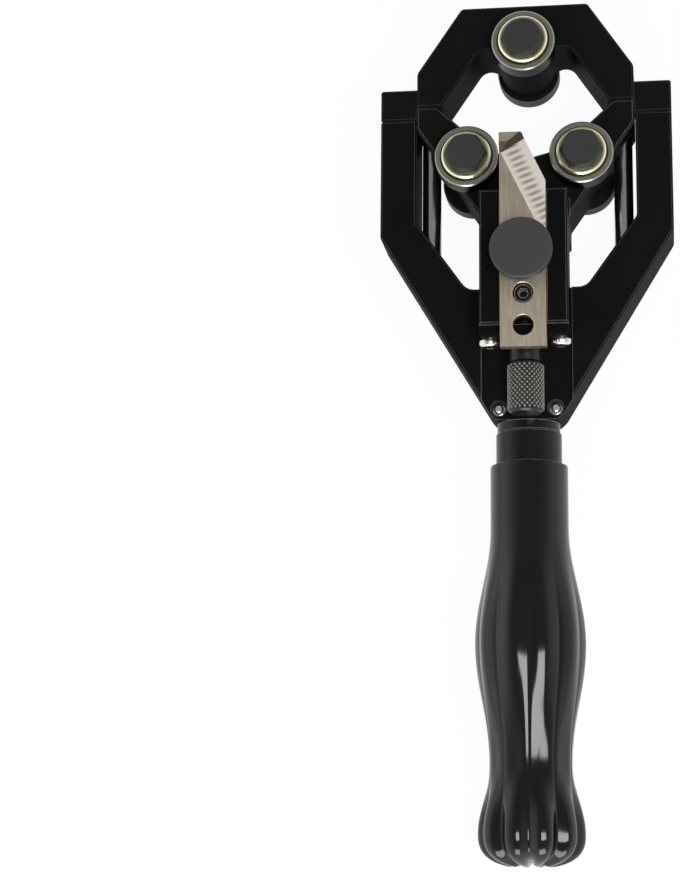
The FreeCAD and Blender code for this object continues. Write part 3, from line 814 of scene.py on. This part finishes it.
steps += [(rim, groove - rim), (0.0, neck_radius), (high.y - low.y - barrel, neck_radius)]
for climb, next_width in steps:
    bpy.ops.mesh.extrude_edges_move(TRANSFORM_OT_translate={"value": (0, climb, 0)})
    level += climb
    growth = next_width / width
    bpy.ops.transform.resize(value=(growth, 1, growth), center_override=(0, level, axis_z))
    width = next_width
pick(knob, lambda v: abs(v.co.y - low.y) < slack or abs(v.co.y - high.y) < slack, "verts")
bpy.ops.mesh.edge_face_add()
pick(knob, lambda e: e.is_boundary, "edges")
bpy.ops.mesh.fill_holes(sides=0)
everything()
bpy.ops.mesh.normals_make_consistent(inside=False)

# The barrel's squares are crossed and joined again as diamonds, and each is then raised to a point.
knurl_start = low.y + rim - slack
knurl_end = low.y + barrel - rim + slack
pick(knob, lambda f: all(knurl_start < v.co.y < knurl_end for v in f.verts))
corners = len(bmesh.from_edit_mesh(knob.data).verts)
bpy.ops.mesh.poke()
pick(
    knob,
    lambda e: all(v.index < corners for v in e.verts) and all(len(f.verts) == 3 for f in e.link_faces),
    "edges",
)
bpy.ops.mesh.dissolve_edges(use_verts=False)
pick(knob, lambda f: len(f.verts) == 4 and all(knurl_start < v.co.y < knurl_end for v in f.verts))
bpy.ops.mesh.poke(offset=point)
everything()
bpy.ops.mesh.normals_make_consistent(inside=False)
bpy.ops.object.mode_set(mode="OBJECT")
smooth(knob, 24)
knurled, shader, place = new_material("dark knurled steel")
around = add_node(
    knurled, "ShaderNodeMapping", {"Vector": place, "Location": (0, 0, -axis_z), "Scale": (1, 0, 1)}
)
from_axis = add_node(
    knurled, "ShaderNodeVectorMath", {0: around.outputs["Vector"]}, operation="LENGTH"
)
# Pale knurl points are rubbed wear plus painted highlight; the dark grooves are painted shade.
rubbed_and_lit_points = add_node(
    knurled,
    "ShaderNodeMapRange",
    {
        "Value": from_axis.outputs["Value"],
        "From Min": groove + 0.05 * MM,
        "From Max": groove + 0.7 * point,
    },
)
tone = add_node(
    knurled,
    "ShaderNodeMix",
    {"Factor": rubbed_and_lit_points.outputs["Result"], MIX_A: linear("#1d1e1b"), MIX_B: linear("#8f908a")},
    data_type="RGBA",
)
wire(knurled, shader, {"Base Color": tone.outputs[MIX_RESULT], "Roughness": 0.3, "Metallic": 0.4})
knob.data.materials.append(knurled)
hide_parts("depth_knob")
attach(knob, "depth_knob")
dress(oxide, "depth_screw", "depth_ring")

# Drive screw: alloy steel with a rolled trapezoid thread of 2 mm lead, blackened and oiled.
# It is pressed into the grip, runs through the hub nut, and its grooved end turns in the lower jaw.
# The oil leaves it dark with a soft shine.
low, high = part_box("drive_screw")
axis_z = (low.z + high.z) / 2
root_flat = 0.6 * MM
flank = 0.35 * MM
crest_flat = 0.7 * MM
lead = root_flat + 2 * flank + crest_flat
core = 4.1 * MM
crest = 5.0 * MM
thread_in_grip = 6 * MM
thread_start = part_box("grip")[1].y - thread_in_grip
shoulder_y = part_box("thrust_washer")[0].y
deselect()
bpy.ops.mesh.primitive_plane_add(size=MM)
thread = added("screw_thread")
settle(thread, (core, 0, 0))
bpy.ops.object.mode_set(mode="EDIT")
everything()
bpy.ops.mesh.merge(type="CENTER")
everything()
profile = [(0, root_flat / 2), (crest - core, flank), (0, crest_flat), (core - crest, flank)]
for out, climb in profile + profile[:1]:
    bpy.ops.mesh.extrude_vertices_move(TRANSFORM_OT_translate={"value": (out, 0, climb)})
bpy.ops.object.mode_set(mode="OBJECT")
winding = thread.modifiers.new("thread", "SCREW")
winding.axis = "Z"
winding.screw_offset = lead
winding.iterations = int((shoulder_y - thread_start) / lead)
winding.steps = winding.render_steps = 32
bpy.ops.object.modifier_apply(modifier=winding.name)
bpy.ops.object.mode_set(mode="EDIT")
everything()
bpy.ops.mesh.remove_doubles(threshold=0.01 * MM)
bpy.ops.mesh.fill_holes(sides=0)
everything()
bpy.ops.mesh.normals_make_consistent(inside=False)
bpy.ops.object.mode_set(mode="OBJECT")
smooth(thread, 40)
settle(thread, (0, thread_start, axis_z), (-math.pi / 2, 0, 0))

# The plain lengths run a little into one another and into the thread.
journal_radius = 4.0 * MM
groove_radius = 2.6 * MM
groove_width = 3.0 * MM
end_length = 5.5 * MM
groove_end = high.y - end_length
groove_start = groove_end - groove_width
end_break = 0.2 * MM
lap = 0.1 * MM
thread_lap = 1.0 * MM
lengths = [thread]
for name, radius, start, end in (
    ("screw_tail", crest, low.y, thread_start + thread_lap),
    ("screw_journal", journal_radius, shoulder_y - thread_lap, groove_start),
    ("screw_groove", groove_radius, groove_start - lap, groove_end),
    ("screw_end", journal_radius, groove_end - lap, high.y),
):
    deselect()
    bpy.ops.mesh.primitive_cylinder_add(vertices=40, radius=radius, depth=end - start)
    plain = added(name)
    bpy.ops.object.mode_set(mode="EDIT")
    pick(plain, lambda f: abs(f.normal.z) > 0.9)
    bpy.ops.mesh.bevel(offset=end_break, segments=1, affect="EDGES")
    bpy.ops.object.mode_set(mode="OBJECT")
    smooth(plain, 30)
    settle(plain, (0, (start + end) / 2, axis_z), (math.pi / 2, 0, 0))
    lengths.append(plain)
screw = joined("threaded_drive_screw", lengths)
screw.data.materials.append(black_oxide("oiled black thread", "#161514", "#3a3937", roughness=0.34))
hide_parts("drive_screw")
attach(screw, "handle")

# Collar and grip: a turned black collar, and a hand grip moulded in glossy plastic round the screw.
# Ten petals run down the grip from a plain neck over two bulges to a rounded, scalloped end.
# The mould was polished, so the plastic mirrors a window sharply; only its flow dulls it a little.
# The collar's pale edge grey is painted highlight on its rims as well as wear.
collar_black = black_with_worn_lit_edges(
    "turned black collar", "#0b0b0a", "#0f0f0e", "#9a9a96", roughness=0.22, grain=0.4, shine=0.25
)
dress(collar_black, "handle_collar")
low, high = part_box("grip")
axis_z = (low.z + high.z) / 2
grip_length = (high.y - low.y) / MM
neck = 21.2
belly = 60.2
waist = 100.7
end_bulge = 123.0
crests = [(0, 13.2), (neck, 13.2), (belly, 18.6), (waist, 13.6), (end_bulge, 17.8), (grip_length, 17.8)]
valleys = [(0, 0), (neck, 0), (belly, 0.8), (waist, -0.4), (end_bulge, 2.2), (grip_length, 2.2)]
creases = [(0, 0), (30.0, 0), (belly, 0.25), (waist, 0.2), (grip_length, 0.25)]
sharpness = [(0, 1.0), (waist, 1.0), (end_bulge, 1.6), (grip_length, 1.6)]
crease_narrowness = 24
end_width = 0.4
end_fullness = 2.6
scallop_depth = 1.6
end_dimple = 0.8 * MM
neck_rim = 0.35 * MM
petals = 10
petal_points = 24
rings = 100
body_rings = 0.85


def eased(reach, stations):
    """A size at a distance from the grip's top, in smooth steps between stations."""
    for (reach_0, size_0), (reach_1, size_1) in zip(stations, stations[1:]):
        if reach <= reach_1:
            share = (reach - reach_0) / (reach_1 - reach_0)
            return size_0 + (size_1 - size_0) * (1 - math.cos(math.pi * share)) / 2
    return stations[-1][1]


deselect()
bpy.ops.mesh.primitive_cylinder_add(
    vertices=petals * petal_points, radius=high.x, depth=grip_length * MM
)
grip = added("fluted_grip")
settle(grip, (low + high) / 2, (math.pi / 2, 0, 0))
bpy.ops.object.mode_set(mode="EDIT")
pick(grip, lambda e: abs(e.verts[0].co.y - e.verts[1].co.y) > grip_length * MM / 2, "edges")
bpy.ops.mesh.subdivide(number_cuts=rings - 1)
bpy.ops.object.mode_set(mode="OBJECT")
dome_height = grip_length - end_bulge
end_loss = 1 - end_width**end_fullness
for vert in grip.data.vertices:
    share = (high.y - vert.co.y) / (grip_length * MM)
    end_share = max(0, share - body_rings) / (1 - body_rings)
    reach = min(share / body_rings, 1) * end_bulge + dome_height * math.sin(end_share * math.pi / 2)
    past = max(0, reach - end_bulge) / dome_height
    dome = max(0, 1 - end_loss * past**end_fullness) ** (1 / end_fullness)
    turn = math.atan2(vert.co.x, vert.co.z - axis_z)
    swing = (1 + math.cos(petals * turn)) / 2
    hollow = swing ** eased(reach, sharpness)
    sunk = eased(reach, valleys) * hollow + eased(reach, creases) * swing**crease_narrowness
    out = (eased(reach, crests) - sunk) * dome * MM
    down = (reach - scallop_depth * hollow * past**2) * MM
    vert.co = (out * math.sin(turn), high.y - down, axis_z + out * math.cos(turn))
bpy.ops.object.mode_set(mode="EDIT")
pick(grip, lambda f: len(f.verts) > 4 and f.normal.y < 0)
bpy.ops.mesh.extrude_region_move()
bpy.ops.transform.resize(value=(0.5, 0, 0.5), center_override=(0, low.y + end_dimple, axis_z))
pick(grip, lambda f: len(f.verts) > 4 and f.normal.y > 0)
bpy.ops.mesh.bevel(offset=neck_rim, segments=2, affect="EDGES")
everything()
bpy.ops.mesh.normals_make_consistent(inside=False)
bpy.ops.object.mode_set(mode="OBJECT")
smooth(grip, 50)
flow_size = 12 * MM
moulded, shader, place = new_material("glossy moulded grip")
flow = add_node(
    moulded, "ShaderNodeTexNoise", {"Vector": place, "Scale": 1 / flow_size, "Detail": 2.0}
)
tint = add_node(
    moulded,
    "ShaderNodeMix",
    {"Factor": flow.outputs["Fac"], MIX_A: linear("#060605"), MIX_B: linear("#0c0c0a")},
    data_type="RGBA",
)
polish = add_node(
    moulded, "ShaderNodeMapRange", {"Value": flow.outputs["Fac"], "To Min": 0.08, "To Max": 0.13}
)
wire(
    moulded,
    shader,
    {"Base Color": tint.outputs[MIX_RESULT], "Roughness": polish.outputs["Result"], "IOR": 1.43},
)
grip.data.materials.append(moulded)
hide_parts("grip")
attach(grip, "handle")

# Table and light: a white paper sweep under the tool, a pale room, and two soft lamps for the grip.
# The sweep shows near white to the camera and to metal, and keeps a faint shadow of the tool.
deselect()
bpy.ops.mesh.primitive_plane_add(size=6.0, location=(0, 0, 0))
floor = added("table")
mottle_size = 40 * MM
paper, shader, place = new_material("white paper")
mottle = add_node(
    paper, "ShaderNodeTexNoise", {"Vector": place, "Scale": 1 / mottle_size, "Detail": 2.0}
)
tint = add_node(
    paper,
    "ShaderNodeMix",
    {"Factor": mottle.outputs["Fac"], MIX_A: linear("#f6f6f6"), MIX_B: linear("#fafafa")},
    data_type="RGBA",
)
wire(paper, shader, {"Base Color": tint.outputs[MIX_RESULT], "Roughness": 0.9})
path = add_node(paper, "ShaderNodeLightPath")
seen = add_node(
    paper,
    "ShaderNodeMath",
    {0: path.outputs["Is Glossy Ray"], 1: 0.3, 2: path.outputs["Is Camera Ray"]},
    operation="MULTIPLY_ADD",
)
whitened = add_node(paper, "ShaderNodeMath", {0: seen.outputs[0], 1: 0.94}, operation="MINIMUM")
glow = add_node(paper, "ShaderNodeEmission", {"Color": linear("#ffffff"), "Strength": 1.0})
both = add_node(
    paper,
    "ShaderNodeMixShader",
    {0: whitened.outputs[0], 1: shader.outputs["BSDF"], 2: glow.outputs["Emission"]},
)
wire(paper, paper.node_tree.nodes["Material Output"], {"Surface": both.outputs["Shader"]})
floor.data.materials.append(paper)

world = bpy.data.worlds.new("studio")
bpy.context.scene.world = world
world.use_nodes = True
direction = add_node(world, "ShaderNodeTexCoord").outputs["Generated"]
upward = add_node(world, "ShaderNodeSeparateXYZ", {"Vector": direction})
room = add_node(
    world,
    "ShaderNodeMapRange",
    {"Value": upward.outputs["Z"], "From Min": 0.15, "From Max": 0.85, "To Min": 0.95, "To Max": 0.3},
    interpolation_type="SMOOTHSTEP",
)
window = add_node(
    world,
    "ShaderNodeMapRange",
    {"Value": upward.outputs["X"], "From Min": -0.95, "From Max": -0.25, "To Min": 0.4, "To Max": 0.0},
    interpolation_type="SMOOTHSTEP",
)
light = add_node(
    world,
    "ShaderNodeMath",
    {0: room.outputs["Result"], 1: window.outputs["Result"]},
    operation="ADD",
)
background = world.node_tree.nodes["Background"]
wire(world, background, {"Color": linear("#ffffff"), "Strength": light.outputs[0]})
for name, at, towards, width, depth, power in (
    ("soft lamp above the grip", (0.32, -0.247, 0.96), (0.32, -0.09, 0.03), 0.66, 0.31, 7.4),
    ("small lamp before the grip's end", (0.06, -1.1, 0.35), (0, -0.14, 0.03), 0.8, 0.5, 8.0),
):
    lamp = bpy.data.lights.new(name, "AREA")
    lamp.shape = "RECTANGLE"
    lamp.size = width
    lamp.size_y = depth
    lamp.energy = power
    rig = bpy.data.objects.new(name, lamp)
    rig.location = at
    rig.rotation_euler = (Vector(towards) - Vector(at)).to_track_quat("-Z", "Y").to_euler()
    bpy.context.collection.objects.link(rig)

# Camera: above the tool, below its middle and a little to its right, aimed past its left side.
# So the tool stands in the right half of the frame, and a long lens keeps it nearly in proportion.
camera = bpy.data.cameras.new("camera")
camera.lens = 90.94
camera.shift_x = -0.03
camera.clip_start = 0.01
view = bpy.data.objects.new("camera", camera)
view.location = (0.04719, -0.16235, 0.75851)
view.rotation_euler = [math.radians(a) for a in (12.195, 7.887, 0.501)]
bpy.context.collection.objects.link(view)
bpy.context.scene.camera = view
bpy.context.scene.view_settings.view_transform = "Standard"
